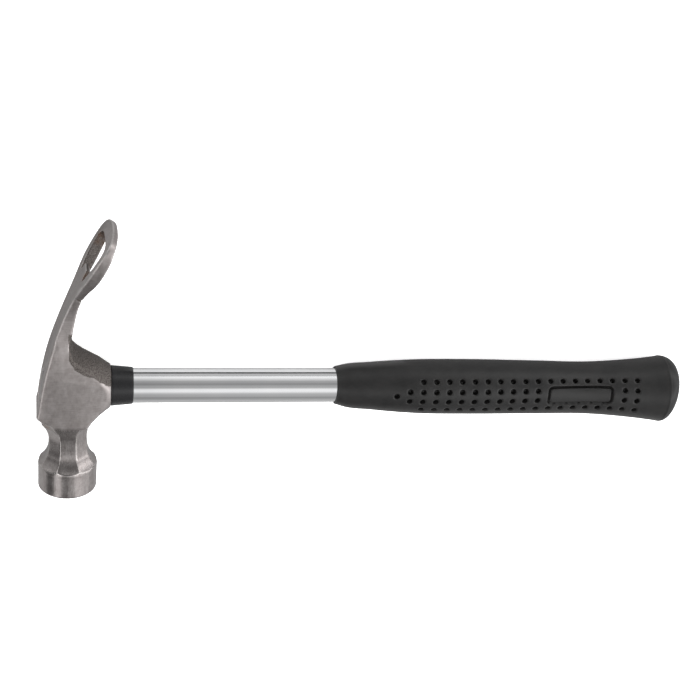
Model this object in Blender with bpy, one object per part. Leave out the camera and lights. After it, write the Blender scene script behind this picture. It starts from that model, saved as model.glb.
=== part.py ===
"""Claw hammer with a tubular steel handle, lying on its side.

The forged head has a round striking poll, an octagonal neck, an eye that the tube
passes through, and a claw that ends in a closed nail-pulling eye with a small tongue.
Metres. +X runs along the handle from head to butt, +Y from the poll towards the claw,
and +Z is the hammer's side. Shapes are drawn with the handle's axis on X and the head's
foremost point at x = 0, and one empty then sets the whole hammer on its resting plane.
"""

import math

import bmesh
import bpy

# Handle, measured along X from the head's foremost point
TUBE_RADIUS = 0.0085
TUBE_WALL = 0.0015
TUBE_END_X = 0.3120
FIT_GAP = 0.0001
FACE_GAP = 0.0003
ROUND_SEGMENTS = 48

# Head: the front face and the outer side of the claw are one arc
FRONT_ARC_RADIUS = 0.2055
FRONT_ARC_CENTRE_Y = -0.0304
HEAD_CORNER_Y = -0.0120
CHEEK_HALF_WIDTH = 0.0123
# The cheeks' half width at each depth behind the front arc
CHEEK_STATIONS = (
    (-0.0020, 0.0102),
    (0.0, 0.0115),
    (0.0009, 0.0121),
    (0.0110, CHEEK_HALF_WIDTH),
    (0.0200, CHEEK_HALF_WIDTH),
    (0.0250, 0.0119),
    (0.0350, 0.0107),
    (0.0420, 0.0096),
)
# The body's half width at each height, from the neck up to the claw
BODY_WIDTHS = (
    (-0.0300, 0.0133),
    (0.0120, 0.0133),
    (0.0200, 0.0118),
    (0.0280, 0.0098),
    (0.0360, 0.0088),
    (0.0600, 0.0087),
)
SOCKET_END_X = 0.0354
SOCKET_END_RADIUS = 0.0106
# The socket's radius along X, on the claw's side and on the poll's side
SOCKET_STATIONS = (
    (-0.0100, 0.0500, 0.0500),
    (0.0150, 0.0500, 0.0500),
    (0.0165, 0.0290, 0.0400),
    (0.0194, 0.0208, 0.0300),
    (0.0222, 0.0181, 0.0250),
    (0.0262, 0.0162, 0.0186),
    (0.0300, 0.0141, 0.0146),
    (0.0335, 0.0117, 0.0117),
    (0.0380, 0.0090, 0.0090),
)
# A ring of steel round the eye, well inside the body
EYE_RING_START_X = 0.0120
EYE_RING_END_X = 0.0300
EYE_RING_RADIUS = 0.0094

# Poll and neck
POLL_X = 0.01575
POLL_RADIUS = 0.01425
POLL_FACE_Y = -0.0560
POLL_SHOULDER_Y = -0.0425
POLL_CHAMFER = 0.0013
WAIST_LOW_Y = -0.0318
WAIST_HIGH_Y = -0.0280
WAIST_HALF_WIDTH = 0.0093
NECK_ARC_RADIUS = 0.0138
NECK_LOW_ARC_RADIUS = 0.0116
NECK_BACK_ARC_RADIUS = 0.0450
NECK_FRONT_LIMIT = 0.0133
NECK_BACK_LIMIT = 0.0108
NECK_TOP_Y = -0.0100
NECK_BOTTOM_Y = POLL_SHOULDER_Y - 0.0015
NECK_STEPS = 24
OCTAGON_RATIO = math.tan(math.pi / 8)

# Claw: distance along the front arc, half width across Z, and thickness
CLAW_ROOT = 0.0560
CLAW_STATIONS = (
    (CLAW_ROOT, 0.0080, 0.0100),
    (0.0620, 0.0090, 0.0075),
    (0.0670, 0.0088, 0.0065),
    (0.0730, 0.0087, 0.0055),
    (0.0790, 0.0095, 0.0046),
    (0.0840, 0.0107, 0.0045),
    (0.0895, 0.0126, 0.0048),
    (0.0950, 0.0148, 0.0050),
    (0.1010, 0.0168, 0.0048),
    (0.1060, 0.0179, 0.0044),
    (0.1100, 0.0180, 0.0040),
    (0.1130, 0.0176, 0.0035),
    (0.1155, 0.0164, 0.0032),
    (0.1175, 0.0142, 0.0030),
    (0.1190, 0.0108, 0.0029),
    (0.1199, 0.0066, 0.0028),
    (0.1202, 0.0030, 0.0028),
)
CLAW_TIP = CLAW_STATIONS[-1][0]
CLAW_MAX_HALF_WIDTH = max(width for _, width, _ in CLAW_STATIONS)
# Half of the eye's outline, from the tongue's tip round one notch to the far end
EYE_OUTLINE = (
    (0.0968, 0.0034),
    (0.0962, 0.0044),
    (0.0932, 0.0058),
    (0.0918, 0.0068),
    (0.0922, 0.0078),
    (0.0965, 0.0104),
    (0.1020, 0.0126),
    (0.1065, 0.0133),
    (0.1095, 0.0131),
    (0.1116, 0.0115),
    (0.1127, 0.0083),
    (0.1131, 0.0040),
)

# The tongue's tip is ground to an edge from the claw's inner face, as (distance, depth)
TONGUE_BEVEL = (
    (0.0918, 0.0056),
    (0.0970, 0.0016),
    (0.0980, 0.0090),
    (0.0918, 0.0090),
)
TONGUE_HALF_WIDTH = 0.0060

# Grip: distance from the head, radius, and how far its centre drops towards the poll side
GRIP_MOUTH_X = 0.1456
GRIP_PROFILE = (
    (GRIP_MOUTH_X, 0.0090, 0.0),
    (0.1464, 0.0096, 0.0),
    (0.1510, 0.0108, -0.0002),
    (0.1637, 0.0120, -0.0004),
    (0.1760, 0.0130, -0.0006),
    (0.1887, 0.0137, -0.0008),
    (0.2141, 0.0140, -0.0010),
    (0.2529, 0.0137, -0.0014),
    (0.2794, 0.0136, -0.0018),
    (0.2994, 0.0149, -0.0021),
    (0.3129, 0.0163, -0.0023),
    (0.3192, 0.0172, -0.0023),
    (0.3204, 0.0175, -0.0023),
)
BUTT_DOME_DEPTH = 0.0085
BUTT_DOME_STEPS = 6
BUTT_FLAT_RADIUS = 0.0021
GRIP_POCKET_END_X = 0.3158

# Collar between the head and the tube
COLLAR_START_X = SOCKET_END_X + FACE_GAP
COLLAR_END_X = 0.0460
COLLAR_START_RADIUS = 0.0096
COLLAR_END_RADIUS = 0.0090
COLLAR_EDGE = 0.0006

# Plugs in the two ends of the tube
EXPANDER_LENGTH = 0.0220
EXPANDER_TAPER = 0.0012
CAP_FLANGE = 0.0030
CAP_PLUG_LENGTH = 0.0150
CAP_LEAD_LENGTH = 0.0130
CAP_LEAD_TAPER = 0.0004

# How far a cutter, or a bar that gets cut, stands past the surface it meets
OVERRUN = 0.0040
CUTTER_REACH = 0.0200

MIDDLE_X = (GRIP_PROFILE[-1][0] + BUTT_DOME_DEPTH) / 2


def clear_scene():
    """Removes every object of the file, so that only the hammer is left."""
    for obj in list(bpy.data.objects):
        bpy.data.objects.remove(obj, do_unlink=True)


def material(name, colour, roughness, metallic):
    """One Principled material."""
    made = bpy.data.materials.new(name)
    made.use_nodes = True
    shader = made.node_tree.nodes["Principled BSDF"]
    shader.inputs["Base Color"].default_value = (*colour, 1.0)
    shader.inputs["Roughness"].default_value = roughness
    shader.inputs["Metallic"].default_value = metallic
    made.diffuse_color = (*colour, 1.0)
    return made


def add_object(name, bm, parent, finish=None):
    """Makes an object of the bmesh, under the parent, with its faces pointing out."""
    bmesh.ops.recalc_face_normals(bm, faces=bm.faces)
    mesh = bpy.data.meshes.new(name)
    bm.to_mesh(mesh)
    bm.free()
    mesh.shade_smooth()
    mesh.set_sharp_from_angle(angle=math.radians(35))
    if finish is not None:
        mesh.materials.append(finish)
    obj = bpy.data.objects.new(name, mesh)
    bpy.context.scene.collection.objects.link(obj)
    obj.parent = parent
    return obj


def helper(name, bm, parent):
    """An object that only shapes another one."""
    obj = add_object(name, bm, parent)
    obj.hide_render = True
    obj.display_type = "WIRE"
    return obj


def combine(obj, other, operation):
    """Adds a Boolean modifier that joins, cuts or trims obj with the other object."""
    modifier = obj.modifiers.new(f"{operation}_{other.name}".lower(), "BOOLEAN")
    modifier.operation = operation
    modifier.object = other
    modifier.solver = "EXACT"


def loft(rings, joined_ends=False):
    """A bmesh of quads between equal rings of points, capped or joined end to end."""
    bm = bmesh.new()
    made = [[bm.verts.new(point) for point in ring] for ring in rings]
    pairs = list(zip(made, made[1:]))
    if joined_ends:
        pairs.append((made[-1], made[0]))
    else:
        bm.faces.new(made[0])
        bm.faces.new(made[-1])
    for first, second in pairs:
        for i in range(len(first)):
            j = (i + 1) % len(first)
            bm.faces.new((first[i], first[j], second[j], second[i]))
    return bm


def prism(outline, place, low, high):
    """A bmesh that extrudes a 2-D outline between two levels, laid out by place(u, v, level)."""
    return loft([[place(u, v, level) for u, v in outline] for level in (low, high)])


def circle_x(x, radius, centre_y=0.0, segments=ROUND_SEGMENTS):
    """Points of a circle round the handle's direction."""
    turns = [2 * math.pi * i / segments for i in range(segments)]
    return [(x, centre_y + radius * math.sin(a), radius * math.cos(a)) for a in turns]


def circle_y(y, radius, segments=ROUND_SEGMENTS):
    """Points of a circle round the poll's axis."""
    turns = [2 * math.pi * i / segments for i in range(segments)]
    return [(POLL_X + radius * math.cos(a), y, radius * math.sin(a)) for a in turns]


def front_arc(distance, depth=0.0, z=0.0):
    """A point that far along the front arc, and that deep inside it."""
    angle = distance / FRONT_ARC_RADIUS
    radius = FRONT_ARC_RADIUS - depth
    x = FRONT_ARC_RADIUS - radius * math.cos(angle)
    return (x, FRONT_ARC_CENTRE_Y + radius * math.sin(angle), z)


def front_distance(y):
    """The distance along the front arc at a height y."""
    return FRONT_ARC_RADIUS * math.asin((y - FRONT_ARC_CENTRE_Y) / FRONT_ARC_RADIUS)


def side_outline():
    """The head's body seen from its side: front arc, throat, socket and underside."""
    start = front_distance(HEAD_CORNER_Y + 0.003)
    steps = 10
    span = CLAW_ROOT + 0.006 - start
    front = [(0.0, HEAD_CORNER_Y)]
    front += [front_arc(start + span * i / steps, FIT_GAP)[:2] for i in range(steps + 1)]
    throat_and_socket = [
        (0.0163, 0.0300), (0.0165, 0.0265), (0.0175, 0.0232), (0.0194, 0.0204), (0.0222, 0.0182),
        (0.0262, 0.0163), (0.0300, 0.0142), (0.0335, 0.0118), (SOCKET_END_X, SOCKET_END_RADIUS),
    ]
    underside = [
        (SOCKET_END_X, -SOCKET_END_RADIUS), (0.0335, -0.0118), (0.0317, -0.0132),
        (0.0291, -0.0155), (0.0271, -0.0179), (0.0150, -0.0185),
    ]
    return front + throat_and_socket + underside


def socket_section(x, top_radius, bottom_radius):
    """A round section about the handle's axis whose lower half may be larger."""
    points = []
    for i in range(ROUND_SEGMENTS):
        angle = 2 * math.pi * i / ROUND_SEGMENTS
        share = (1 + math.sin(angle)) / 2
        radius = bottom_radius + (top_radius - bottom_radius) * share
        points.append((x, radius * math.sin(angle), radius * math.cos(angle)))
    return points


def neck_half_width(y, arc_radius, limit):
    """The neck's half width at a height y: straight at the waist, on a hollow arc above and below it."""
    rise = min(max(WAIST_LOW_Y - y, y - WAIST_HIGH_Y, 0.0), arc_radius)
    return min(WAIST_HALF_WIDTH + arc_radius - math.sqrt(arc_radius**2 - rise**2), limit)


def neck_section(y):
    """An octagon across the poll's axis, wider to the front, back and sides away from the waist."""
    if y < WAIST_LOW_Y:
        front = back = side = neck_half_width(y, NECK_LOW_ARC_RADIUS, POLL_RADIUS + FACE_GAP)
    else:
        front = neck_half_width(y, NECK_ARC_RADIUS, NECK_FRONT_LIMIT)
        back = neck_half_width(y, NECK_BACK_ARC_RADIUS, NECK_BACK_LIMIT)
        side = neck_half_width(y, NECK_ARC_RADIUS, CHEEK_HALF_WIDTH - FACE_GAP)
    corner_z = side * OCTAGON_RATIO
    front_x, back_x = -front * OCTAGON_RATIO, back * OCTAGON_RATIO
    flat = [(back, corner_z), (back_x, side), (front_x, side), (-front, corner_z)]
    flat += [(x, -z) for x, z in reversed(flat)]
    return [(POLL_X + x, y, z) for x, z in flat]


def both_sides(half):
    """A closed outline from its half with the second coordinate above zero."""
    return list(half) + [(u, -v) for u, v in reversed(half)]


def build_plan_trim(parent):
    """The cheeks' outline, with bevelled front edges, carried along the front arc."""
    start, end, steps = 0.004, 0.080, 16
    rings = []
    for i in range(steps + 1):
        distance = start + (end - start) * i / steps
        rings.append([front_arc(distance, depth, z) for depth, z in both_sides(CHEEK_STATIONS)])
    return helper("plan_trim", loft(rings), parent)


def build_body(parent):
    """The head between neck, claw and socket: its side outline, trimmed to its plan, width and socket."""
    reach = CUTTER_REACH
    body = helper("head_body", prism(side_outline(), lambda x, y, z: (x, y, z), -reach, reach), parent)
    combine(body, build_plan_trim(parent), "INTERSECT")
    width = prism(both_sides(BODY_WIDTHS), lambda y, z, x: (x, y, z), -reach, SOCKET_END_X + reach)
    combine(body, helper("width_trim", width, parent), "INTERSECT")
    rings = [socket_section(*station) for station in SOCKET_STATIONS]
    combine(body, helper("socket_trim", loft(rings), parent), "INTERSECT")
    return body


def build_neck_and_poll(parent):
    """The octagonal neck, and the round poll with its chamfered striking face."""
    rise = NECK_TOP_Y - NECK_BOTTOM_Y
    levels = [NECK_BOTTOM_Y + rise * i / NECK_STEPS for i in range(NECK_STEPS + 1)]
    neck = helper("neck", loft([neck_section(y) for y in levels]), parent)
    low_radius, high_radius = POLL_RADIUS - FIT_GAP, 2 * POLL_RADIUS
    trim_rings = [circle_y(y, low_radius) for y in (NECK_BOTTOM_Y - OVERRUN, WAIST_LOW_Y)]
    trim_rings += [circle_y(y, high_radius) for y in (WAIST_HIGH_Y, NECK_TOP_Y + OVERRUN)]
    combine(neck, helper("neck_trim", loft(trim_rings), parent), "INTERSECT")
    poll_rings = [
        circle_y(POLL_FACE_Y, POLL_RADIUS - POLL_CHAMFER),
        circle_y(POLL_FACE_Y + POLL_CHAMFER, POLL_RADIUS),
        circle_y(POLL_SHOULDER_Y, POLL_RADIUS),
    ]
    return neck, helper("poll", loft(poll_rings), parent)


def build_claw(parent):
    """The claw plate, bent along the front arc, and the cutters of its eye and of the tongue's tip."""
    rings = []
    for distance, half_width, thickness in CLAW_STATIONS:
        corners = [(0.0, half_width), (0.0, -half_width), (thickness, -half_width), (thickness, half_width)]
        rings.append([front_arc(distance, depth, z) for depth, z in corners])
    claw = helper("claw", loft(rings), parent)
    low, high = -OVERRUN, CLAW_STATIONS[0][2]
    eye_solid = prism(both_sides(EYE_OUTLINE), lambda s, z, depth: front_arc(s, depth, z), low, high)
    eye = helper("claw_eye", eye_solid, parent)
    half = TONGUE_HALF_WIDTH
    bevel = prism(TONGUE_BEVEL, lambda s, depth, z: front_arc(s, depth, z), -half, half)
    return claw, (eye, helper("tongue_bevel", bevel, parent))


def build_head(parent, finish):
    """The forged head as one solid, with the eye for the tube right through it."""
    ring = [circle_x(x, EYE_RING_RADIUS) for x in (EYE_RING_START_X, EYE_RING_END_X)]
    head = add_object("head", loft(ring), parent, finish)
    body = build_body(parent)
    neck, poll = build_neck_and_poll(parent)
    claw, claw_cutters = build_claw(parent)
    for piece in (body, neck, poll, claw):
        combine(head, piece, "UNION")
    for cutter in claw_cutters:
        combine(head, cutter, "DIFFERENCE")
    ends = (-CUTTER_REACH, SOCKET_END_X + CUTTER_REACH)
    bore = loft([circle_x(x, TUBE_RADIUS + FIT_GAP) for x in ends])
    combine(head, helper("eye_bore", bore, parent), "DIFFERENCE")
    return head


def front_trim(parent):
    """A block in front of the head's front arc, which cuts the tube and its plug flush with it."""
    middle = front_distance(0.0)
    reach = CUTTER_REACH
    steps = 12
    face = [front_arc(middle - reach + 2 * reach * i / steps, FACE_GAP)[:2] for i in range(steps + 1)]
    outline = [(-reach, face[0][1])] + face + [(-reach, face[-1][1])]
    return helper("front_trim", prism(outline, lambda x, y, z: (x, y, z), -reach, reach), parent)


def build_tube(parent, finish, trim):
    """The handle's steel tube, open at both ends, cut flush with the head's front."""
    inner = TUBE_RADIUS - TUBE_WALL
    rings = [circle_x(-OVERRUN, TUBE_RADIUS), circle_x(TUBE_END_X, TUBE_RADIUS)]
    rings += [circle_x(TUBE_END_X, inner), circle_x(-OVERRUN, inner)]
    tube = add_object("handle_tube", loft(rings, joined_ends=True), parent, finish)
    combine(tube, trim, "DIFFERENCE")
    return tube


def build_expander(parent, finish, trim):
    """The tapered plug pressed into the tube's end, which spreads it in the head's eye."""
    outer = TUBE_RADIUS - TUBE_WALL - FIT_GAP
    rings = [circle_x(-OVERRUN, outer), circle_x(EXPANDER_LENGTH, outer - EXPANDER_TAPER)]
    plug = add_object("tube_expander_plug", loft(rings), parent, finish)
    combine(plug, trim, "DIFFERENCE")
    return plug


def build_collar(parent, finish):
    """The tapered collar that covers the joint between the head and the tube."""
    bore = TUBE_RADIUS + FIT_GAP
    rings = [
        circle_x(COLLAR_START_X, COLLAR_START_RADIUS),
        circle_x(COLLAR_END_X - COLLAR_EDGE, COLLAR_END_RADIUS),
        circle_x(COLLAR_END_X, bore + FIT_GAP),
        circle_x(COLLAR_END_X, bore),
        circle_x(COLLAR_START_X, bore),
    ]
    return add_object("neck_collar", loft(rings, joined_ends=True), parent, finish)


def build_grip(parent, finish):
    """The rubber sleeve: waisted, flared at its closed butt, with a blind pocket for the tube."""
    rings = [circle_x(x, radius, drop) for x, radius, drop in GRIP_PROFILE]
    rim_x, rim_radius, drop = GRIP_PROFILE[-1]
    for i in range(1, BUTT_DOME_STEPS):
        angle = math.pi / 2 * i / BUTT_DOME_STEPS
        rings.append(circle_x(rim_x + BUTT_DOME_DEPTH * math.sin(angle), rim_radius * math.cos(angle), drop))
    rings.append(circle_x(rim_x + BUTT_DOME_DEPTH, BUTT_FLAT_RADIUS, drop))
    grip = add_object("grip", loft(rings), parent, finish)
    pocket = loft([circle_x(x, TUBE_RADIUS + FIT_GAP) for x in (GRIP_MOUTH_X - OVERRUN, GRIP_POCKET_END_X)])
    combine(grip, helper("grip_pocket", pocket, parent), "DIFFERENCE")
    return grip


def build_end_cap(parent, finish):
    """The plug with a flange that closes the tube's butt end inside the grip."""
    plug_radius = TUBE_RADIUS - TUBE_WALL - FIT_GAP
    start = TUBE_END_X + FACE_GAP
    rings = [
        circle_x(TUBE_END_X - CAP_PLUG_LENGTH, plug_radius - CAP_LEAD_TAPER),
        circle_x(TUBE_END_X - CAP_PLUG_LENGTH + CAP_LEAD_LENGTH, plug_radius),
        circle_x(start, plug_radius),
        circle_x(start, TUBE_RADIUS),
        circle_x(start + CAP_FLANGE, TUBE_RADIUS),
    ]
    return add_object("tube_end_cap", loft(rings), parent, finish)


def main():
    clear_scene()
    frame = bpy.data.objects.new("hammer_frame", None)
    bpy.context.scene.collection.objects.link(frame)
    tip_y = front_arc(CLAW_TIP)[1]
    middle_y = (POLL_FACE_Y + tip_y) / 2
    frame.location = (-MIDDLE_X, -middle_y, CLAW_MAX_HALF_WIDTH)

    steel = material("forged_steel", (0.40, 0.38, 0.37), 0.38, 1.0)
    chrome = material("chrome_plate", (0.72, 0.73, 0.75), 0.12, 1.0)
    plug_steel = material("plug_steel", (0.45, 0.44, 0.43), 0.35, 1.0)
    collar_plastic = material("collar_plastic", (0.012, 0.012, 0.013), 0.35, 0.0)
    rubber = material("grip_rubber", (0.022, 0.022, 0.023), 0.55, 0.0)
    cap_plastic = material("cap_plastic", (0.03, 0.03, 0.03), 0.5, 0.0)

    trim = front_trim(frame)
    build_head(frame, steel)
    build_tube(frame, chrome, trim)
    build_expander(frame, plug_steel, trim)
    build_collar(frame, collar_plastic)
    build_grip(frame, rubber)
    build_end_cap(frame, cap_plastic)


main()
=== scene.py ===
"""The looks of the tubular claw hammer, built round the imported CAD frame.

The steel head is worked out as one solid from its profiles: the distance to its surface is
summed on a grid, and a net of quads is drawn where it is zero, so that its parts meet in
small forged fillets. The handle's parts are turned, and the grip is a fine sheet whose
lines bend round each dimple.

Shapes are drawn in millimetres in the hammer's own frame: the handle's axis is X, the
head's foremost point is x = 0, +Y is the claw's side and +Z is the side that faces up.
"""

import math

import bpy
import numpy as np
from mathutils import Matrix, Vector, noise


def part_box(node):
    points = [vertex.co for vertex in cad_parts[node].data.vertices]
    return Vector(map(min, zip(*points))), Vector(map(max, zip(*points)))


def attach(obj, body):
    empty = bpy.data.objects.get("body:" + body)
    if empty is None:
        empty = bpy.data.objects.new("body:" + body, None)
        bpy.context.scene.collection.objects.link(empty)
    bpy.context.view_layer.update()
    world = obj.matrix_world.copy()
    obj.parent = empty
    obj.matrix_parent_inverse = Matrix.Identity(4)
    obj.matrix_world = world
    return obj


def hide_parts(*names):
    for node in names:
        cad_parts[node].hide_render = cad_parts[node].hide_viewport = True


MM = 0.001

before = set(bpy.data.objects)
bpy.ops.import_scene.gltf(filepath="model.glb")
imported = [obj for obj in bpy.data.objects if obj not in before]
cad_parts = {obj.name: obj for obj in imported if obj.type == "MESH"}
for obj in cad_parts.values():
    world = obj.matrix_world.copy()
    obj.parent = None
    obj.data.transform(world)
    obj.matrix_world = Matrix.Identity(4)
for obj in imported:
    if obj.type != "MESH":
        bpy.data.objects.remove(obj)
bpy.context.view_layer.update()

# The hammer's own frame, found from the tube: its axis, and its butt end at x = 312
TUBE_END_X = 312.0
TUBE_LOW, TUBE_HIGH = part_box("handle_tube")
ORIGIN = Vector((
    TUBE_HIGH.x - TUBE_END_X * MM,
    (TUBE_LOW.y + TUBE_HIGH.y) / 2,
    (TUBE_LOW.z + TUBE_HIGH.z) / 2,
))

# Handle
TUBE_RADIUS = 8.5
TUBE_WALL = 1.5
TUBE_START_X = 2.6
TUBE_RIM = 0.3
FIT_GAP = 0.1
COLLAR_START_X = 35.45
COLLAR_END_X = 46.0
COLLAR_LARGE_RADIUS = 9.85
COLLAR_SMALL_RADIUS = 9.0
COLLAR_RIM = 0.45

# Head: the front face and the outer side of the claw are one arc
ARC_RADIUS = 205.5
ARC_CENTRE_Y = -30.4
HEAD_CORNER = (0.35, -12.0)
SOCKET_END_X = 35.4
# The poll: its axis, its radius, and where its face and its shoulder are
POLL_X = 15.75
POLL_RADIUS = 14.25
POLL_FACE_Y = -56.0
POLL_SHOULDER_Y = -42.5
POLL_CHAMFER = 0.9
# The neck: its half width at the waist, the hollow arcs that it flares on, and how far they go
WAIST = 9.3
WAIST_LOW_Y = -32.2
WAIST_HIGH_Y = -28.0
NECK_ARC = 13.8
NECK_LOW_ARC = 12.4
NECK_BACK_ARC = 45.0
NECK_BACK_MOST = 10.8
NECK_SIDE_MOST = 22
NECK_FRONT_X = 2.9
NECK_TOP_Y = -10.0
# The cheeks' half width at each depth behind the front arc
CHEEK_STATIONS = (
    (-2, 11.4), (3, 12.05), (8, 12.25), (12, 12.3), (18, 12.2), (23, 11.9), (28, 11.4), (34, 10.6),
    (40, 9.6),
)
CHEEK_TOP_Y = 24
# How deep the bevel of the front edge reaches at each height, and how it leans
BEVEL_DEPTH = ((-12, 0.3), (0, 0.35), (10, 0.5), (20, 0.9), (30, 1.3))
BEVEL_HALF_WIDTH = 12.15
BEVEL_SLOPE = 0.85
BEVEL_LEAN = 0.76
BEVEL_TOP_Y = 27
# A lean turns a distance along an axis into the distance square to a sloping surface
LEAN = 0.8
# How far the cheeks are ground towards the throat and the socket, as (x, y)
GRINDING_LIMIT = (
    (14.2, 60), (15.1, 24), (15.4, 18.7), (18.1, 14.5), (21.9, 11.8), (25.1, 10.7), (27.9, 9.2), (34.6, 4.8),
)
SKIN_TOP_Y = 33
# The throat from the claw down to the socket's end, and the underside back to the front, as (x, y)
THROAT = (
    (16.2, 30.0), (15.6, 26.5), (15.6, 23.8), (16.9, 21.6), (19.2, 19.6), (22.2, 17.9), (26.2, 16.2),
    (30.0, 14.2), (33.5, 11.8), (SOCKET_END_X, 10.6),
)
UNDERSIDE = (
    (SOCKET_END_X, -10.6), (33.5, -11.8), (31.7, -13.2), (29.1, -15.5), (27.1, -17.9), (15.0, -18.5),
    (3.5, -14.6),
)
# How far the edges between the head's surfaces are rounded
BEVEL_ROUND = 0.5
SIDE_ROUND = 0.8
SOCKET_ROUND = 0.9
EYE_ROUND = 0.9
HOLLOW_ROUND = 2.6
PLAN_ROUND = 3.0
NECK_ROUND = 0.2
POLL_ROUND = 0.3
GRID_STEP = 0.42
GRID_LOW = (-1.6, -57.0, -18.8)
GRID_HIGH = (41.0, 84.4, 18.8)

# Claw: distance along the arc, and thickness there
CLAW_ROOT = 64
CLAW_LIMIT = 122
CLAW_THICKNESS = (
    (52, 12.5), (56, 10.0), (62, 7.5), (67, 6.5), (73, 5.5), (79, 4.5), (84, 4.2), (89.5, 4.6),
    (95, 5.4), (101, 5.6), (106, 5.3), (110, 4.8), (113, 4.1), (117, 3.4), (121, 2.9),
)
# Half of the head's outline unrolled along the arc, from the cheeks to the claw's tip
PLAN_OUTLINE = (
    (0, 14.5), (36, 14.2), (44, 13.2), (51, 11.8), (57, 10.2), (62, 9.2), (67, 8.8), (73, 8.7),
    (79, 9.3), (84, 10.3), (89.5, 12.7), (95, 15.4), (101, 17.1), (106, 17.8), (110, 17.92),
    (113, 17.6), (115.5, 16.4), (117.5, 14.2), (119, 10.8), (119.9, 6.6), (120.2, 2.2),
)
# Half of the eye's outline, from the tongue's tip round one notch to the far end
TONGUE_TIP = 96.8
EYE_OUTLINE = (
    (TONGUE_TIP, 3.4), (96.2, 4.4), (93.2, 5.8), (91.8, 6.8), (92.2, 7.8), (96.5, 10.4), (102, 12.6),
    (106.5, 13.3), (109.5, 13.1), (111.6, 11.5), (112.7, 8.3), (113.1, 4.0),
)
# The tongue's edge is ground back to this thickness, between these limits
TONGUE_EDGE = 1.6
TONGUE_SLOPE = 0.8
TONGUE_LEAN = 0.78
TONGUE_CENTRE = 95.0
TONGUE_REACH = 3.2
TONGUE_HALF_WIDTH = 6.2
# A short grinding groove on each side of the claw: how far along the arc it is, and how deep
MARK_DISTANCE = 83.8
MARK_DEPTH = 0.35
# The socket's radius about the handle's axis, on the claw's side and on the poll's side
SOCKET_RADII = (
    (10, 60, 60), (15, 42, 50), (16.4, 24, 40), (17.3, 20.8, 36.5), (19.3, 19.2, 30.3),
    (22.4, 17.5, 24.6), (26.4, 15.8, 18.4), (30, 14.1, 14.6), (33.5, 11.7, 11.7), (38, 9.0, 9.0),
)
SOCKET_TOP_Y = 25

# Grip: distance from the head, radius, and how far its centre drops towards the poll side
GRIP_PROFILE = (
    (146.4, 9.6, 0), (151, 10.8, -0.2), (163.7, 12, -0.4), (176, 13, -0.6), (188.7, 13.7, -0.8),
    (214.1, 14, -1.0), (252.9, 13.7, -1.4), (279.4, 13.6, -1.8), (299.4, 14.9, -2.1),
    (312.9, 16.3, -2.3), (319.2, 17.2, -2.3),
)
GRIP_MOUTH_X = 145.6
GRIP_RIM_X = 320.0
# The butt: its radius, how far its dome stands out, and how far the dome's top is off its middle
BUTT_RADIUS = 17.4
BUTT_DOME = 8.6
BUTT_LIFT = 4.6
POCKET_END_X = 315.8

# Dimples: a lattice of columns PITCH apart along the grip and rows ROW_TURN degrees apart round
# it, with CELL of the grip's lines to a dimple each way
CELL = 16
PITCH = 6.69
LATTICE_START_X = 188.6
LATTICE_COLUMNS = 20
LATTICE_ROWS = 4
ROW_TURN = 22.3
ROWS_CENTRE = -4.0
# How far the rows turn back from the poll's side along the grip, in degrees
ROW_DRIFT = (
    (146, 0), (188, 0), (215, 1.2), (240, 3.4), (262, 6.8), (280, 9.4), (303, 9.0), (312, 4.0),
    (319.2, 0),
)
# The rings of lines round a dimple's centre: distance from it, and depth
DIMPLE_RINGS = ((0, 3.2), (0.6, 3.2), (1.05, 3.1), (1.26, 2.7), (1.36, 1.3), (1.42, 0.2), (1.58, 0.0))
# Lines outside the lattice: rings at the mouth and at the rim, and lines on the two plain sides
MOUTH_ROWS = 48
RIM_ROWS = 30
POLL_SIDE_LINES = 48
CLAW_SIDE_LINES = 40
# The panel: its centre as (x, degrees), its size, and its depth at distances from its outline
PANEL_CENTRE = (272.0, -2.4)
PANEL_SIZE = (35.8, 11.2)
PANEL_CORNER = 3.0
PANEL_STEPS = ((-1.6, 0.5), (-1.2, 2.5), (-0.6, 2.5), (-0.15, 0.2), (0.1, 0.0))

# Camera, in the CAD frame
CAMERA_PLACE = Vector((-0.16700, 0.32390, 0.62752))
CAMERA_TARGET = Vector((-0.01275, 0.00618, 0.01800))
CAMERA_ROLL = 0.117
CAMERA_LENS = 73.34

# Light: the surround's brightness at angles round the handle, from +Z towards the poll's side
WORLD_BANDS = (
    (-92, 0.95), (-78, 0.92), (-70, 0.70), (-62, 0.58), (-54, 0.38), (-44, 0.36), (-36, 0.27),
    (-29, 0.33), (-21, 0.42), (-14, 0.38), (-7, 0.62), (0, 0.92), (12, 0.95), (20, 0.80),
    (28, 0.55), (37, 0.45), (50, 0.42), (62, 0.30), (72, 0.33), (83, 0.42), (92, 0.42),
)
# The surround's share of that brightness towards the poll's end and towards the butt
WORLD_ENDS = (
    (-1.0, 0.55), (-0.80, 0.40), (-0.70, 0.6), (-0.62, 2.2), (-0.42, 2.2), (-0.32, 0.8), (-0.15, 0.5),
    (0.02, 0.50), (0.07, 0.95), (0.12, 1.05), (0.28, 1.05), (0.36, 1.3), (0.46, 2.2), (0.60, 2.4),
    (0.85, 2.2), (1.0, 2.5),
)
WORLD_END_MOST = 2.5
KEY_POWER = 100.0
KEY_SIZE = 3.2
KEY_PLACE = (-0.1, -0.1, 1.5)
FLOOR_GLOW = 0.5
FLOOR_REACH = 4


def to_frame(points):
    """Points of the hammer's own frame, in millimetres, as points of the CAD frame."""
    return np.asarray(points, float) * MM + np.array(ORIGIN)


def value_at(place, stations):
    """The value at a place between (position, value) pairs."""
    return np.interp(place, *np.array(stations, float).T)


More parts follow.
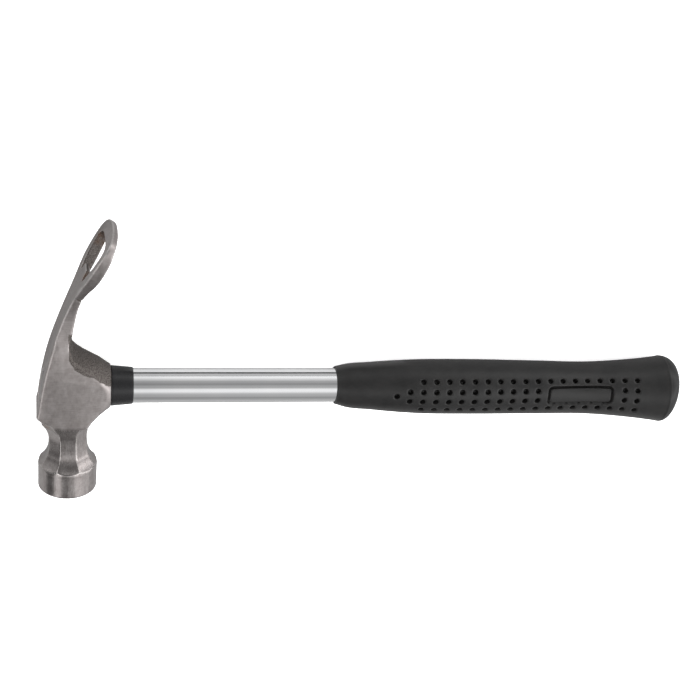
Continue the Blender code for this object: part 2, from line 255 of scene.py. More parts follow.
def smooth_curve(stations):
    """A function that runs smoothly through (position, value) pairs."""
    at, value = np.array(stations, float).T
    slope = np.gradient(value, at)

    def run(x):
        x = np.clip(x, at[0], at[-1])
        i = np.clip(np.searchsorted(at, x) - 1, 0, len(at) - 2)
        span = at[i + 1] - at[i]
        t = (x - at[i]) / span
        start = value[i] * (1 + 2 * t) * (1 - t) ** 2 + slope[i] * span * t * (1 - t) ** 2
        end = value[i + 1] * t * t * (3 - 2 * t) - slope[i + 1] * span * t * t * (1 - t)
        return start + end

    return run


def rounded_outline(points, steps=6):
    """A closed Catmull-Rom curve through the points."""
    points = np.array(points, float)
    made = []
    for i in range(len(points)):
        a, b, c, d = (points[(i + k) % len(points)] for k in (-1, 0, 1, 2))
        for t in np.arange(steps) / steps:
            bend = (2 * a - 5 * b + 4 * c - d) * t + (3 * b - a - 3 * c + d) * t * t
            made.append(b + 0.5 * t * (c - a + bend))
    return np.array(made)


def mirrored(half):
    """A closed outline from its half with the second coordinate above zero."""
    return list(half) + [(u, -v) for u, v in reversed(half)]


def outline_distance(u, v, outline):
    """Signed distance of points from a closed outline, negative inside."""
    nearest = np.full(np.broadcast(u, v).shape, np.inf)
    inside = np.zeros(nearest.shape, bool)
    for (au, av), (bu, bv) in zip(outline, np.roll(outline, -1, axis=0)):
        eu, ev = bu - au, bv - av
        along = np.clip(((u - au) * eu + (v - av) * ev) / (eu * eu + ev * ev), 0, 1)
        nearest = np.minimum(nearest, (u - au - along * eu) ** 2 + (v - av - along * ev) ** 2)
        if ev != 0:
            inside ^= ((av > v) != (bv > v)) & (u < au + eu * (v - av) / ev)
    return np.where(inside, -1, 1) * np.sqrt(nearest)


def round_max(a, b, radius):
    """The larger of two distances, with the edge between them rounded."""
    near = np.maximum(radius - np.abs(a - b), 0) / radius
    return np.maximum(a, b) + near * near * radius / 4


def round_min(a, b, radius):
    """The smaller of two distances, with a fillet between them."""
    return -round_max(-a, -b, radius)


def surface_net(field, low, step):
    """Points and quads where a 3-D array of distances is zero: one point in each crossed cell.

    Each grid edge that the surface crosses gives one quad, between the four cells round it.
    """
    cells = tuple(n - 1 for n in field.shape)
    size = int(np.prod(cells))
    total = np.zeros((3, size))
    count = np.zeros(size)
    quads = []
    for axis in range(3):
        first = np.moveaxis(field, axis, 0)[:-1]
        second = np.moveaxis(field, axis, 0)[1:]
        crossed = np.argwhere((first < 0) != (second < 0))
        a, b = first[tuple(crossed.T)], second[tuple(crossed.T)]
        order = [axis] + [k for k in range(3) if k != axis]
        at = np.empty((len(crossed), 3), int)
        at[:, order] = crossed
        point = at.astype(float)
        point[:, axis] += a / (a - b)
        one, two = (axis + 1) % 3, (axis + 2) % 3
        corners = []
        for back_one, back_two in ((0, 0), (1, 0), (1, 1), (0, 1)):
            cell = at.copy()
            cell[:, one] -= back_one
            cell[:, two] -= back_two
            flat = np.ravel_multi_index(cell.T, cells)
            corners.append(flat)
            count += np.bincount(flat, minlength=size)
            for k in range(3):
                total[k] += np.bincount(flat, weights=point[:, k], minlength=size)
        quad = np.stack(corners, axis=1)
        quads.append(np.where((a < 0)[:, None], quad, quad[:, ::-1]))
    used = np.flatnonzero(count)
    number = np.zeros(size, int)
    number[used] = np.arange(len(used))
    points = (total[:, used] / count[used]).T * step + low
    return points, number[np.concatenate(quads)]


def enclosed_volume(mesh):
    """The volume inside a closed mesh, negative where its faces point in."""
    mesh.calc_loop_triangles()
    points = np.array([v.co[:] for v in mesh.vertices])
    corners = np.array([t.vertices[:] for t in mesh.loop_triangles])
    return np.linalg.det(points[corners]).sum() / 6


def mesh_object(name, points, faces, material, smooth_angle=None):
    """A closed piece made of points of the hammer's own frame, with its faces pointing out."""
    mesh = bpy.data.meshes.new(name)
    mesh.from_pydata(to_frame(points).tolist(), [], [list(map(int, face)) for face in faces])
    mesh.validate()
    if enclosed_volume(mesh) < 0:
        mesh.flip_normals()
    mesh.shade_smooth()
    if smooth_angle is not None:
        mesh.set_sharp_from_angle(angle=math.radians(smooth_angle))
    mesh.materials.append(material)
    made = bpy.data.objects.new(name, mesh)
    bpy.context.scene.collection.objects.link(made)
    return made


def belongs(piece, node):
    """Fixes a piece to the frame in place of its CAD node."""
    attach(piece, "root")
    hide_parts(node)
    return piece


def ring_quads(rows, columns, joined_ends=False):
    """The quads of rows of points that each close round into a ring."""
    number = np.arange(rows * columns).reshape(rows, columns)
    if joined_ends:
        number = np.vstack([number, number[:1]])
    here, there = number[:-1], number[1:]
    quads = np.stack([here, there, np.roll(there, -1, axis=1), np.roll(here, -1, axis=1)], axis=-1)
    return quads.reshape(-1, 4)


def turned(name, profile, material, segments=192, angle=30):
    """A closed loop of (x, radius) pairs turned round the handle's axis."""
    turns = np.arange(segments) * 2 * math.pi / segments
    points = [(x, r * math.sin(a), r * math.cos(a)) for x, r in profile for a in turns]
    return mesh_object(name, points, ring_quads(len(profile), segments, True), material, angle)


# Head


def head_grid():
    """The grid's lowest corner and its three coordinates, wide enough for the whole head."""
    x, y, z = (np.arange(a, b, GRID_STEP) for a, b in zip(GRID_LOW, GRID_HIGH))
    return np.array(GRID_LOW), x[:, None, None], y[None, :, None], z[None, None, :]


def on_arc(distance, depth=0.0):
    """A point that far along the front arc and that deep inside it, as (x, y)."""
    angle = distance / ARC_RADIUS
    radius = ARC_RADIUS - depth
    return ARC_RADIUS - radius * math.cos(angle), ARC_CENTRE_Y + radius * math.sin(angle)


def arc_distance(y):
    """How far along the front arc a height is."""
    return ARC_RADIUS * math.asin((y - ARC_CENTRE_Y) / ARC_RADIUS)


def head_side():
    """The head above the neck seen from its side: arc, claw, throat, socket and underside."""
    thickness = smooth_curve(CLAW_THICKNESS)
    start = arc_distance(HEAD_CORNER[1] + 3)
    front = [on_arc(s) for s in np.linspace(start, CLAW_LIMIT, 60)]
    inner = [on_arc(s, float(thickness(s))) for s in np.linspace(CLAW_LIMIT, CLAW_ROOT, 40)]
    return np.array([HEAD_CORNER, *front, *inner, *THROAT, *UNDERSIDE])


def flare(rise, arc, most):
    """The neck's half width at a distance from its waist, on a hollow arc."""
    rise = np.minimum(np.maximum(rise, 0), arc)
    return np.minimum(WAIST + arc - np.sqrt(arc**2 - rise**2), most)


def side_field(x, y, z):
    """Distance to the cheeks: a bevelled front edge, a slight crown, and a hollow down to the neck."""
    depth = along_arc(x, y)[1]
    crown = value_at(depth, CHEEK_STATIONS) + np.maximum(y - CHEEK_TOP_Y, 0) * 1.5
    bevel = BEVEL_HALF_WIDTH - (value_at(y, BEVEL_DEPTH) - depth) * BEVEL_SLOPE
    bevel = bevel + np.maximum(y - BEVEL_TOP_Y, 0)
    hollow = flare(y - WAIST_HIGH_Y, NECK_ARC, np.inf)
    cheek = round_max(np.abs(z) - crown, (np.abs(z) - bevel) * BEVEL_LEAN, BEVEL_ROUND)
    return round_max(cheek, (np.abs(z) - hollow) * LEAN, HOLLOW_ROUND)


def unrolled_field(x, y, z):
    """Distances to the head's outline and to the eye's inside, both unrolled along the front arc."""
    distance = along_arc(x, y)[0][:, :, 0]
    pace = 0.2
    rows = np.arange(0, CLAW_LIMIT + 4, pace)
    place = np.clip(distance / pace, 0, len(rows) - 1.001)
    row = place.astype(int)
    part = (place - row)[:, :, None]

    def spread(half_outline):
        outline = rounded_outline(mirrored(half_outline))
        table = outline_distance(rows[:, None], z[0, 0, :][None, :], outline)
        return table[row] * (1 - part) + table[row + 1] * part

    return spread(PLAN_OUTLINE), -spread(EYE_OUTLINE)


def upper_field(x, y, z):
    """Distance to the cheeks, socket and claw."""
    side = outline_distance(x[:, :, 0], y[:, :, 0], head_side())[:, :, None]
    plan, eye = unrolled_field(x, y, z)
    field = round_max(side_field(x, y, z), plan, PLAN_ROUND)
    field = round_max(field, socket_field(x, y, z), SOCKET_ROUND)
    field = round_max(field, side, SIDE_ROUND)
    field = round_max(field, eye, EYE_ROUND)
    distance, depth = along_arc(x, y)
    field = np.maximum(field, -tongue_cut(distance, depth, z))
    return field + MARK_DEPTH * grinding_mark(distance, depth)


def socket_field(x, y, z):
    """Distance to the socket round the handle, which is narrower on the claw's side."""
    at, claw_side, poll_side = np.array(SOCKET_RADII).T
    top, bottom = (np.interp(x, at, radii) for radii in (claw_side, poll_side))
    reach = np.hypot(y, z)
    share = (1 + y / np.maximum(reach, 0.01)) / 2
    return (reach - bottom - (top - bottom) * share) * LEAN - np.maximum(y - SOCKET_TOP_Y, 0) * 3


def tongue_cut(distance, depth, z):
    """Distance to what is ground off the tongue's inner face, negative inside."""
    bevel = (TONGUE_EDGE + (TONGUE_TIP - distance) * TONGUE_SLOPE - depth) * TONGUE_LEAN
    limits = np.maximum(np.abs(z) - TONGUE_HALF_WIDTH, np.abs(distance - TONGUE_CENTRE) - TONGUE_REACH)
    return np.maximum(bevel, limits)


def along_arc(x, y):
    """How far along the front arc points are, and how deep inside it."""
    distance = ARC_RADIUS * np.arctan2(y - ARC_CENTRE_Y, ARC_RADIUS - x)
    return distance, ARC_RADIUS - np.hypot(x - ARC_RADIUS, y - ARC_CENTRE_Y)


def grinding_mark(distance, depth):
    """Where a short groove runs across each side of the claw, near its inner face, from 0 to 1."""
    return np.exp(-((distance - MARK_DISTANCE) / 0.55) ** 2) * np.clip(depth - 1.0, 0, 1)


def neck_field(x, y, z):
    """Distance to the octagonal neck, which flares on hollow arcs to the poll and to the cheeks."""
    below = y < WAIST_LOW_Y
    down = flare(WAIST_LOW_Y - y, NECK_LOW_ARC, POLL_RADIUS + 0.3)
    up = y - WAIST_HIGH_Y
    draw_in = 0.5 * np.clip((y - WAIST_LOW_Y) / 4, 0, 1)
    front = np.where(below, down, flare(up, NECK_ARC, POLL_X - NECK_FRONT_X))
    back = np.where(below, down, flare(up, NECK_BACK_ARC, NECK_BACK_MOST) - draw_in)
    side = np.where(below, down, flare(up, NECK_ARC, NECK_SIDE_MOST))
    u, v = x - POLL_X, np.abs(z)
    field = np.maximum(np.maximum(v - side, u - back), -u - front)
    for half, toward in ((back, u), (front, -u)):
        length = np.hypot(half, side)
        corner = (toward * side + v * half - math.sqrt(2) * half * side) / length
        field = np.maximum(field, corner)
    poll_side = np.maximum(field, np.hypot(u, v) - POLL_RADIUS)
    field = np.where(below, poll_side, round_max(field, side_field(x, y, z), NECK_ROUND))
    return np.maximum(field, np.maximum(y - NECK_TOP_Y, POLL_SHOULDER_Y - 1.0 - y))


def poll_field(x, y, z):
    """Distance to the round poll with its chamfered face."""
    out = np.hypot(x - POLL_X, z) - POLL_RADIUS
    face = POLL_FACE_Y - y
    chamfer = (out + face + POLL_CHAMFER) / math.sqrt(2)
    shoulder = 0.15 * out + y - POLL_SHOULDER_Y
    return np.maximum(np.maximum(out, face), np.maximum(chamfer, shoulder))


def forged_skin(points):
    """How much of the dark forged skin is left at each point, from 0 where it is ground to 1."""
    x, y, z = points.T
    rough = np.array([noise.noise(Vector(p) * 0.35) + 0.6 * noise.noise(Vector(p) * 1.3) for p in points])
    past_limit = y - value_at(x, GRINDING_LIMIT) + rough * 0.5
    throat = np.clip(past_limit + 0.5, 0, 1) * np.clip((SKIN_TOP_Y - y) / 2.5, 0, 1)
    distance, depth = along_arc(x, y)
    wall = outline_distance(distance, z, rounded_outline(mirrored(EYE_OUTLINE)))
    eye = np.clip(1.3 - wall / 0.5, 0, 1) * (depth > 0.4)
    mark = grinding_mark(distance, depth) * (np.abs(z) > 5)
    return np.maximum(np.maximum(throat, eye), np.clip(mark * 1.5 - 0.4, 0, 1))


def rust(points):
    """Where thin brown rust shows: under the cheeks' front corner and in the eye's notches."""
    x, y, z = points.T
    corner = np.hypot((x - 5.5) / 4.5, (y + 18.5) / 2.6)
    distance = along_arc(x, y)[0]
    notch = np.hypot((distance - 95) / 4.0, (np.abs(z) - 6.5) / 3.0)
    far = np.hypot((distance - 108) / 5.0, (np.abs(z) - 13.5) / 2.5)
    return np.clip(1 - np.minimum(corner, np.minimum(notch, far)), 0, 1)


def edge_wear_and_highlight(mesh, points, normals):
    """How sharply the surface turns outwards at each point, for the bright edges: rubbed wear, and partly a
    painted highlight along the edges and creases.
    """
    ends = np.array([e.vertices[:] for e in mesh.edges])
    step = points[ends[:, 1]] - points[ends[:, 0]]
    step /= np.linalg.norm(step, axis=1)[:, None] + 1e-9
    total, count = np.zeros(len(points)), np.zeros(len(points))
    for here, sign in ((0, 1), (1, -1)):
        turn = -sign * (step * normals[ends[:, here]]).sum(axis=1)
        total += np.bincount(ends[:, here], weights=turn, minlength=len(points))
        count += np.bincount(ends[:, here], minlength=len(points))
    return np.clip((total / count - 0.05) * 6, 0, 1)


def store(mesh, name, values):
    """Keeps one number for each point, for the material to read."""
    layer = mesh.attributes.new(name, "FLOAT", "POINT")
    layer.data.foreach_set("value", np.asarray(values, np.float32))


def build_head(material):
    """The forged head, with the bore that holds the tube."""
    low, x, y, z = head_grid()
    neck = round_min(neck_field(x, y, z), poll_field(x, y, z), POLL_ROUND)
    solid = np.minimum(upper_field(x, y, z), neck)
    bore = np.hypot(y, z) - TUBE_RADIUS - FIT_GAP
    points, faces = surface_net(np.maximum(solid, -bore), low, GRID_STEP)
    head = mesh_object("forged_head", points, faces, material)
    normals = np.array([v.normal[:] for v in head.data.vertices])
    store(head.data, "forged_skin", forged_skin(points))
    store(head.data, "rust", rust(points))
    store(head.data, "cheek", np.clip((points[:, 1] + 20) / 3, 0, 1))
    # Outward edges, for their lightening as rubbed wear and partly as a painted highlight
    store(head.data, "edge_wear_and_highlight", edge_wear_and_highlight(head.data, points, normals))
    return belongs(head, "head")


# Handle


def build_tube(material):
    """The chromed tube, with its front end flush with the head's front arc."""
    inner = TUBE_RADIUS - TUBE_WALL
    start = TUBE_START_X
    profile = [(start, inner), (start, TUBE_RADIUS - 0.2), (start + 0.2, TUBE_RADIUS)]
    profile += [(x, TUBE_RADIUS) for x in np.linspace(20, TUBE_END_X - TUBE_RIM, 40)]
    profile += [(TUBE_END_X, TUBE_RADIUS - TUBE_RIM), (TUBE_END_X, inner)]
    tube = turned("chromed_tube", profile, material)
    axis_x = on_arc(arc_distance(0.0))[0]
    for vertex in tube.data.vertices:
        y = (vertex.co.y - ORIGIN.y) / MM
        if vertex.co.x < ORIGIN.x + 10 * MM:
            vertex.co.x += (on_arc(arc_distance(y))[0] - axis_x) * MM
    return belongs(tube, "handle_tube")


def build_collar(material):
    """The black collar, tapered, with rounded rims."""
    bore = TUBE_RADIUS + 0.05
    start, end = COLLAR_START_X, COLLAR_END_X
    taper = (COLLAR_SMALL_RADIUS - COLLAR_LARGE_RADIUS) / (end - start)
    turns = np.linspace(0, math.pi / 2, 6)
    rim = [(COLLAR_RIM * (1 - math.sin(a)), COLLAR_RIM * (1 - math.cos(a))) for a in turns]
    profile = [(start, bore)]
    profile += [(start + along_rim, COLLAR_LARGE_RADIUS - inward) for along_rim, inward in rim[::-1]]
    profile += [(x, COLLAR_LARGE_RADIUS + taper * (x - start)) for x in np.linspace(37, 45, 9)]
    profile += [(end - along_rim, COLLAR_SMALL_RADIUS - inward) for along_rim, inward in rim]
    profile += [(end, bore)]
    return belongs(turned("collar", profile, material), "neck_collar")


def grip_rows():
    """Where the grip's rings stand: free at the mouth, on the lattice with the dimples, free at the rim."""
    first = LATTICE_START_X - 2.5 * PITCH
    last = first + LATTICE_COLUMNS * PITCH
    mouth = np.linspace(GRIP_PROFILE[0][0], first, MOUTH_ROWS, endpoint=False)
    lattice = first + np.arange(LATTICE_COLUMNS * CELL + 1) * PITCH / CELL
    rim = np.linspace(last, GRIP_PROFILE[-1][0], RIM_ROWS + 1)[1:]
    return np.concatenate([mouth, lattice, rim])


def grip_turns():
    """The angles of the grip's lines from +Z towards the poll's side: four lattice cells on each side."""
    span = LATTICE_ROWS * ROW_TURN
    edge = ROWS_CENTRE - span / 2
    stops = (edge, edge + span, 180 - edge - span, 180 - edge, 360 + edge)
    counts = (LATTICE_ROWS * CELL, POLL_SIDE_LINES, LATTICE_ROWS * CELL, CLAW_SIDE_LINES)
    return np.concatenate([np.linspace(a, b, n, endpoint=False) for a, b, n in zip(stops, stops[1:], counts)])


def dimple_places():
    """(lattice step, line) of every dimple on both sides: two full rows, two that stop for the
    panel, and one dimple on the centre line ahead of them."""
    width = LATTICE_ROWS * CELL
    places = []
    for side_start in (0, width + POLL_SIDE_LINES):
        for row in range(LATTICE_ROWS):
            steps = range(18) if row in (0, LATTICE_ROWS - 1) else [*range(-1, 10), 16, 17]
            line = CELL // 2 + CELL * row
            across = width - line if side_start > 0 else line
            places += [(step, side_start + across) for step in steps]
        places.append((-2, side_start + width // 2))
    return places


def sink_dimple(x, turn, depth, radius, row, line):
    """Bends the lines round one dimple into circles and sinks them."""
    reach = CELL // 2
    block = (slice(row - reach, row + reach + 1), slice(line - reach, line + reach + 1))
    i, j = np.mgrid[-reach:reach + 1, -reach:reach + 1]
    ring = np.maximum(abs(i), abs(j))
    angle = np.arctan2(j, i)
    rings = np.array(DIMPLE_RINGS)
    out = np.interp(ring, range(len(rings)), rings[:, 0])
    keep = np.clip((ring - len(rings) + 1) / (reach - len(rings) + 1), 0, 1)
    round_x = x[row, line] + out * np.cos(angle)
    round_turn = turn[row, line] + np.degrees(out * np.sin(angle) / radius)
    x[block] = x[block] * keep + round_x * (1 - keep)
    turn[block] = turn[block] * keep + round_turn * (1 - keep)
    depth[block] = np.interp(ring, range(len(rings)), rings[:, 1])


def panel_depth(x, turn, radius):
    """How deep the blank label panel lies: a groove round a shallow floor."""
    along = np.abs(x - PANEL_CENTRE[0]) - PANEL_SIZE[0] / 2 + PANEL_CORNER
    around = np.abs(np.radians(turn - PANEL_CENTRE[1]) * radius) - PANEL_SIZE[1] / 2 + PANEL_CORNER
    out = np.hypot(np.maximum(along, 0), np.maximum(around, 0)) + np.minimum(np.maximum(along, around), 0)
    return value_at(out - PANEL_CORNER, PANEL_STEPS)


def build_grip(material):
    """The rubber sleeve with its dimples, panels, mouth and domed butt."""
    along, around = grip_rows(), grip_turns()
    x, turn = np.meshgrid(along, around, indexing="ij")
    depth = np.zeros(x.shape)
    at, size, drop = np.array(GRIP_PROFILE).T
    radius_at = smooth_curve(list(zip(at, size)))
    drop_at = smooth_curve(list(zip(at, drop)))
    for step, line in dimple_places():
        row = MOUTH_ROWS + int(2.5 * CELL) + CELL * step
        sink_dimple(x, turn, depth, radius_at(along[row]), row, line)
    radius = radius_at(x)
    for face_turn in (turn, 180 - turn):
        depth = np.maximum(depth, panel_depth(x, face_turn, radius))
    drift = value_at(x, ROW_DRIFT)
    angle = np.radians(turn)
    angle = angle - np.radians(drift) * (np.cos(angle) + 0.13 * np.sin(2 * angle))
    radius = radius - depth
    body = np.stack([x, drop_at(x) - radius * np.sin(angle), radius * np.cos(angle)], axis=-1)

    def ring(x_at, ring_radius, ring_drop):
        a = np.radians(around)
        return np.stack([a * 0 + x_at, ring_drop - ring_radius * np.sin(a), ring_radius * np.cos(a)], axis=-1)

    bore = TUBE_RADIUS + FIT_GAP
    mouth = [
        (POCKET_END_X, 0.05), (POCKET_END_X, bore), (GRIP_MOUTH_X + 0.2, bore),
        (GRIP_MOUTH_X, bore + 0.15), (GRIP_MOUTH_X, 9.1), (GRIP_MOUTH_X + 0.1, 9.3),
        (GRIP_MOUTH_X + 0.35, 9.48),
    ]
    end_drop = GRIP_PROFILE[-1][2]
    rim = [(GRIP_RIM_X - 0.35, 17.33), (GRIP_RIM_X + 0.05, 17.42), (GRIP_RIM_X + 0.4, 17.3)]
    rows = [ring(*pair, 0.0) for pair in mouth] + list(body) + [ring(*pair, end_drop) for pair in rim]
    for lean in np.linspace(0.10, math.pi / 2 - 0.01, 28):
        rise = math.sin(lean)
        dome_x = GRIP_RIM_X + 0.2 + BUTT_DOME * rise
        rows.append(ring(dome_x, BUTT_RADIUS * math.cos(lean), end_drop + BUTT_LIFT * rise**2))
    points = np.concatenate(rows)
    columns = len(around)
    quads = ring_quads(len(rows), columns).tolist()
    numbers = list(range(len(points)))
    caps = [numbers[:columns], numbers[-columns:][::-1]]
    grip = mesh_object("rubber_grip", points, quads + caps, material)
    return belongs(grip, "grip")


# Stage


def build_camera():
    """The camera above the claw's side, turned a little about its own axis."""
    data = bpy.data.cameras.new("camera")
    data.sensor_width = 36.0
    data.lens = CAMERA_LENS
    data.clip_start = 0.01
    camera = bpy.data.objects.new("camera", data)
    forward = (CAMERA_TARGET - CAMERA_PLACE).normalized()
    level = forward.cross(Vector((0, 1, 0))).normalized()
    upright = level.cross(forward)
    right = level * math.cos(CAMERA_ROLL) + upright * math.sin(CAMERA_ROLL)
    up = upright * math.cos(CAMERA_ROLL) - level * math.sin(CAMERA_ROLL)
    axes = Matrix((right, up, -forward)).transposed()
    camera.matrix_world = Matrix.Translation(CAMERA_PLACE) @ axes.to_4x4()
    bpy.context.scene.collection.objects.link(camera)
    bpy.context.scene.camera = camera


def flat_card(name, low, high, level, shade):
    """A matt grey rectangle on the floor."""
    (x0, y0), (x1, y1) = low, high
    mesh = bpy.data.meshes.new(name)
    mesh.from_pydata([(x0, y0, level), (x1, y0, level), (x1, y1, level), (x0, y1, level)], [], [(0, 1, 2, 3)])
    mesh.materials.append(plain_material(name, (shade, shade, shade), 0.9, 0.0))
    card = bpy.data.objects.new(name, mesh)
    bpy.context.scene.collection.objects.link(card)
    return card


def reflection_card(name, low, high, level, shade):
    """A card that only reflections see, as a photographer's flag shades the shine of bright metal."""
    card = flat_card(name, low, high, level, shade)
    card.visible_camera = False
    card.visible_diffuse = False
    card.visible_shadow = False
    card.visible_transmission = False


def grey_ramp(nodes, pairs, low, high, most):
    """A ColorRamp through (position, level) pairs, its positions between low and high."""
    ramp = nodes.new("ShaderNodeValToRGB")
    stops = ramp.color_ramp.elements
    greys = [(level / most, level / most, level / most, 1) for _, level in pairs]
    stops[0].color, stops[-1].color = greys[0], greys[-1]
    for (position, _), grey in zip(pairs, greys):
        stops.new((position - low) / (high - low)).color = grey
    return ramp


def build_world():
    """A surround of soft bands round the handle's direction, as strip lights and gaps between them give."""
    world = bpy.data.worlds.new("studio")
    world.use_nodes = True
    nodes, links = world.node_tree.nodes, world.node_tree.links

    def calculate(operation, a, b):
        node = nodes.new("ShaderNodeMath")
        node.operation = operation
        for value, socket in ((a, node.inputs[0]), (b, node.inputs[1])):
            if isinstance(value, float):
                socket.default_value = value
            else:
                links.new(value, socket)
        return node.outputs[0]

    direction = nodes.new("ShaderNodeTexCoord")
    split = nodes.new("ShaderNodeSeparateXYZ")
    links.new(direction.outputs["Generated"], split.inputs[0])
    angle = calculate("ARCTAN2", calculate("MULTIPLY", split.outputs["Y"], -1.0), split.outputs["Z"])
    turn = calculate("ADD", calculate("DIVIDE", angle, 2 * math.pi), 0.5)
    bands = grey_ramp(nodes, WORLD_BANDS, -180, 180, 1.0)
    links.new(turn, bands.inputs[0])
    along = calculate("ADD", calculate("MULTIPLY", split.outputs["X"], 0.5), 0.5)
    ends = grey_ramp(nodes, WORLD_ENDS, -1.0, 1.0, WORLD_END_MOST)
    links.new(along, ends.inputs[0])
    share = calculate("MULTIPLY", ends.outputs[0], WORLD_END_MOST)
    links.new(calculate("MULTIPLY", bands.outputs[0], share), nodes["Background"].inputs["Color"])
    nodes["Background"].inputs["Strength"].default_value = 1.0
    bpy.context.scene.world = world


def build_key():
    """A wide overhead softbox that lights the floor and the dull surfaces."""
    data = bpy.data.lights.new("key", "AREA")
    data.shape = "RECTANGLE"
    data.size, data.size_y = KEY_SIZE, KEY_SIZE
    data.energy = KEY_POWER
    key = bpy.data.objects.new("key", data)
    key.location = KEY_PLACE
    key.visible_glossy = False
    bpy.context.scene.collection.objects.link(key)


def build_stage():
    """A pale floor, the cards that the bright metal mirrors, and soft light."""
    corners = (-FLOOR_REACH, -FLOOR_REACH), (FLOOR_REACH, FLOOR_REACH)
    floor = flat_card("floor", *corners, 0.0, 0.9)
    glow = floor.data.materials[0].node_tree.nodes["Principled BSDF"]
    glow.inputs["Emission Color"].default_value = (1, 1, 1, 1)
    glow.inputs["Emission Strength"].default_value = FLOOR_GLOW
    reflection_card("grey_card", *corners, 0.0001, 0.2)
    reflection_card("white_card", (-0.117, -0.012), (0.02, 0.019), 0.0002, 0.36)
    reflection_card("black_card", (-0.117, 0.0215), (0.02, 0.046), 0.0002, 0.04)
    build_world()
    build_key()
    bpy.context.scene.view_settings.view_transform = "Standard"


# Materials


def plain_material(name, colour, roughness, metallic):
    """A Principled material of one colour, for the others to build on."""
    made = bpy.data.materials.new(name)
    made.use_nodes = True
    shader = made.node_tree.nodes["Principled BSDF"]
    shader.inputs["Base Color"].default_value = (*colour, 1)
    shader.inputs["Roughness"].default_value = roughness
    shader.inputs["Metallic"].default_value = metallic
    return made


class Nodes:
    """Short ways to add nodes to a material and join them."""

    def __init__(self, material):
        self.tree = material.node_tree
        self.shader = self.tree.nodes["Principled BSDF"]
        place = self.tree.nodes.new("ShaderNodeTexCoord")
        self.place = place.outputs["Object"]

    def link(self, value, socket):
        if isinstance(value, (int, float)):
            socket.default_value = value
        elif isinstance(value, tuple):
            socket.default_value = (*value, 1)
        else:
            self.tree.links.new(value, socket)

    def set(self, name, value):
        """Joins a value to one of the shader's sockets."""
        self.link(value, self.shader.inputs[name])

    def math(self, operation, a, b=0.0, clamp=False):
        node = self.tree.nodes.new("ShaderNodeMath")
        node.operation = operation
        node.use_clamp = clamp
        self.link(a, node.inputs[0])
        self.link(b, node.inputs[1])
        return node.outputs[0]

    def noise(self, per_mm, stretch=(1, 1, 1), detail=3.0, roughness=0.6):
        """Noise with that many waves in a millimetre, drawn out along an axis by a small stretch."""
        scale = self.tree.nodes.new("ShaderNodeMapping")
        scale.inputs["Scale"].default_value = [per_mm * 1000 * k for k in stretch]
        self.link(self.place, scale.inputs["Vector"])
        node = self.tree.nodes.new("ShaderNodeTexNoise")
        node.inputs["Scale"].default_value = 1.0
        node.inputs["Detail"].default_value = detail
        node.inputs["Roughness"].default_value = roughness
        self.link(scale.outputs[0], node.inputs["Vector"])
        return node.outputs["Fac"]

    def remap(self, value, low, high, to_low=0.0, to_high=1.0):
        node = self.tree.nodes.new("ShaderNodeMapRange")
        self.link(value, node.inputs["Value"])
        for name, number in zip(("From Min", "From Max", "To Min", "To Max"), (low, high, to_low, to_high)):
            node.inputs[name].default_value = number
        return node.outputs[0]

    def mix(self, share, a, b):
        """A colour between two others."""
        node = self.tree.nodes.new("ShaderNodeMix")
        node.data_type = "RGBA"
        self.link(share, node.inputs["Factor"])
        self.link(a, node.inputs["A"])
        self.link(b, node.inputs["B"])
        return node.outputs["Result"]

    def attribute(self, name):
        node = self.tree.nodes.new("ShaderNodeAttribute")
        node.attribute_name = name
        return node.outputs["Fac"]

    def bump(self, height, depth_mm):
        """Relief of that depth over the height's range from 0 to 1."""
        node = self.tree.nodes.new("ShaderNodeBump")
        node.inputs["Strength"].default_value = 1.0
        node.inputs["Distance"].default_value = depth_mm * MM
        self.link(height, node.inputs["Height"])
        self.set("Normal", node.outputs[0])


def head_steel():
    """Ground steel with straight grinding lines, dark forged skin, a little rust, and edges lightened both as
    rubbed wear and as a painted highlight.
    """
    made = plain_material("head_steel", (0.42, 0.39, 0.38), 0.4, 1.0)
    n = Nodes(made)
    across = n.noise(2.6, (0.06, 1, 1), 4, 0.7)
    down = n.noise(2.2, (1, 0.06, 1), 4, 0.7)
    lines = n.math("ADD", down, n.math("MULTIPLY", n.attribute("cheek"), n.math("SUBTRACT", across, down)))
    mottle = n.noise(0.45, (1, 0.6, 1), 4, 0.65)
    grain = n.noise(1.6, (1, 1, 1), 4, 0.7)
    shade = n.math("ADD", n.remap(lines, 0.3, 0.7, -0.5, 0.5), n.remap(mottle, 0.3, 0.7, -0.6, 0.6))
    ground = n.mix(n.remap(shade, -0.9, 0.9), (0.34, 0.305, 0.295), (0.53, 0.495, 0.485))
    # Outward edges and creases lightened: rubbed wear, and partly a painted highlight along them
    ground = n.mix(n.attribute("edge_wear_and_highlight"), ground, (0.85, 0.83, 0.81))
    skin_colour = n.mix(n.remap(grain, 0.35, 0.65), (0.10, 0.088, 0.08), (0.27, 0.245, 0.23))
    skin = n.math("ADD", n.attribute("forged_skin"), n.remap(grain, 0.3, 0.7, -0.35, 0.35), True)
    skin = n.remap(skin, 0.3, 0.65)
    colour = n.mix(skin, ground, skin_colour)
    stain = n.math("MULTIPLY", n.attribute("rust"), n.remap(mottle, 0.35, 0.6), True)
    colour = n.mix(n.math("MULTIPLY", stain, 0.75), colour, (0.23, 0.12, 0.06))
    n.set("Base Color", colour)
    dull = n.math("ADD", n.attribute("cheek"), n.math("MULTIPLY", skin, 1.8))
    polish = n.remap(mottle, 0.3, 0.7, 0.17, 0.25)
    n.set("Roughness", n.math("ADD", polish, n.math("MULTIPLY", dull, 0.13)))
    pits = n.math("MULTIPLY", n.math("MULTIPLY", skin, grain), 2.2)
    n.bump(n.math("ADD", n.math("MULTIPLY", lines, 0.35), pits), 0.05)
    return made


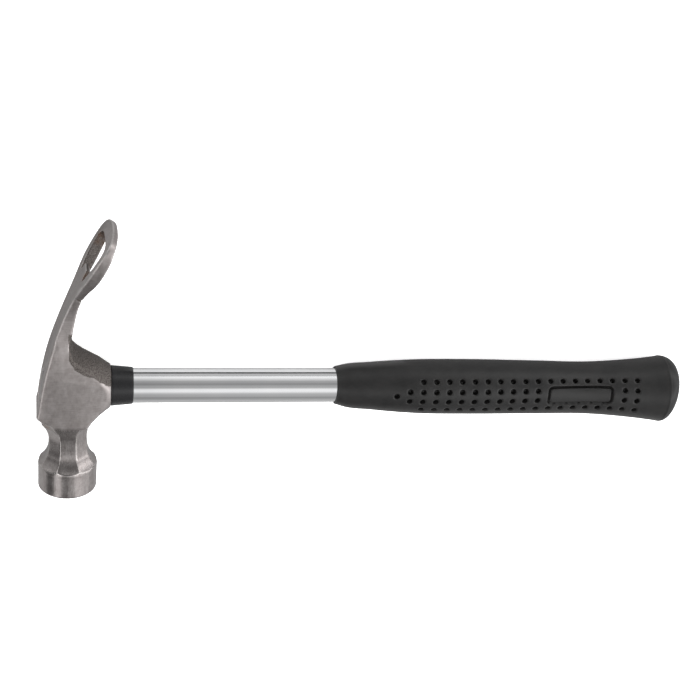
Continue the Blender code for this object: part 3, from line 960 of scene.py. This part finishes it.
def tube_chrome():
    """Bright chrome with faint draw lines along the tube."""
    made = plain_material("tube_chrome", (0.86, 0.865, 0.875), 0.09, 1.0)
    n = Nodes(made)
    lines = n.noise(1.6, (0.012, 1, 1), 3, 0.6)
    smear = n.noise(0.06, (1, 1, 1), 2, 0.5)
    n.set("Base Color", n.mix(smear, (0.80, 0.81, 0.825), (0.90, 0.90, 0.905)))
    n.set("Roughness", n.remap(lines, 0.3, 0.7, 0.06, 0.13))
    n.bump(lines, 0.004)
    return made


def collar_plastic():
    """Black satin plastic."""
    made = plain_material("collar_black", (0.01, 0.01, 0.011), 0.33, 0.0)
    n = Nodes(made)
    grain = n.noise(2.5, (1, 1, 1), 3, 0.6)
    n.set("Base Color", n.mix(grain, (0.003, 0.003, 0.0035), (0.007, 0.007, 0.0075)))
    n.set("Roughness", n.remap(grain, 0.3, 0.7, 0.2, 0.28))
    n.bump(grain, 0.01)
    return made


def grip_rubber():
    """Black moulded rubber with a fine matt grain and cloudy patches of shine."""
    made = plain_material("grip_black", (0.014, 0.014, 0.015), 0.5, 0.0)
    n = Nodes(made)
    grain = n.noise(4.0, (1, 1, 1), 3, 0.7)
    cloud = n.noise(0.12, (1, 1, 1), 4, 0.6)
    base = n.mix(n.remap(cloud, 0.3, 0.7), (0.0035, 0.0034, 0.0035), (0.0075, 0.0072, 0.0071))
    n.set("Specular IOR Level", 0.47)
    n.set("Base Color", base)
    wear = n.remap(cloud, 0.3, 0.7, 0.33, 0.40)
    n.set("Roughness", n.math("ADD", wear, n.remap(grain, 0.3, 0.7, -0.03, 0.03)))
    n.bump(grain, 0.02)
    return made


def finish_hidden_plugs():
    """Gives the expander plug and the end cap, which keep their CAD meshes, finished materials."""
    steel = plain_material("plug_ground", (0.42, 0.4, 0.39), 0.35, 1.0)
    n = Nodes(steel)
    lines = n.noise(2.0, (1, 0.08, 1), 3, 0.6)
    n.set("Base Color", n.mix(lines, (0.33, 0.31, 0.3), (0.5, 0.48, 0.47)))
    n.set("Roughness", n.remap(lines, 0.3, 0.7, 0.3, 0.42))
    n.bump(lines, 0.02)
    plastic = plain_material("cap_black", (0.03, 0.03, 0.03), 0.5, 0.0)
    n = Nodes(plastic)
    grain = n.noise(2.0, (1, 1, 1), 3, 0.6)
    n.set("Base Color", n.mix(grain, (0.02, 0.02, 0.02), (0.04, 0.04, 0.04)))
    n.bump(grain, 0.02)
    for node, made in (("tube_expander_plug", steel), ("tube_end_cap", plastic)):
        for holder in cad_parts[node].material_slots:
            holder.material = made


def main():
    build_camera()
    build_stage()
    build_head(head_steel())
    build_tube(tube_chrome())
    build_collar(collar_plastic())
    build_grip(grip_rubber())
    finish_hidden_plugs()


main()
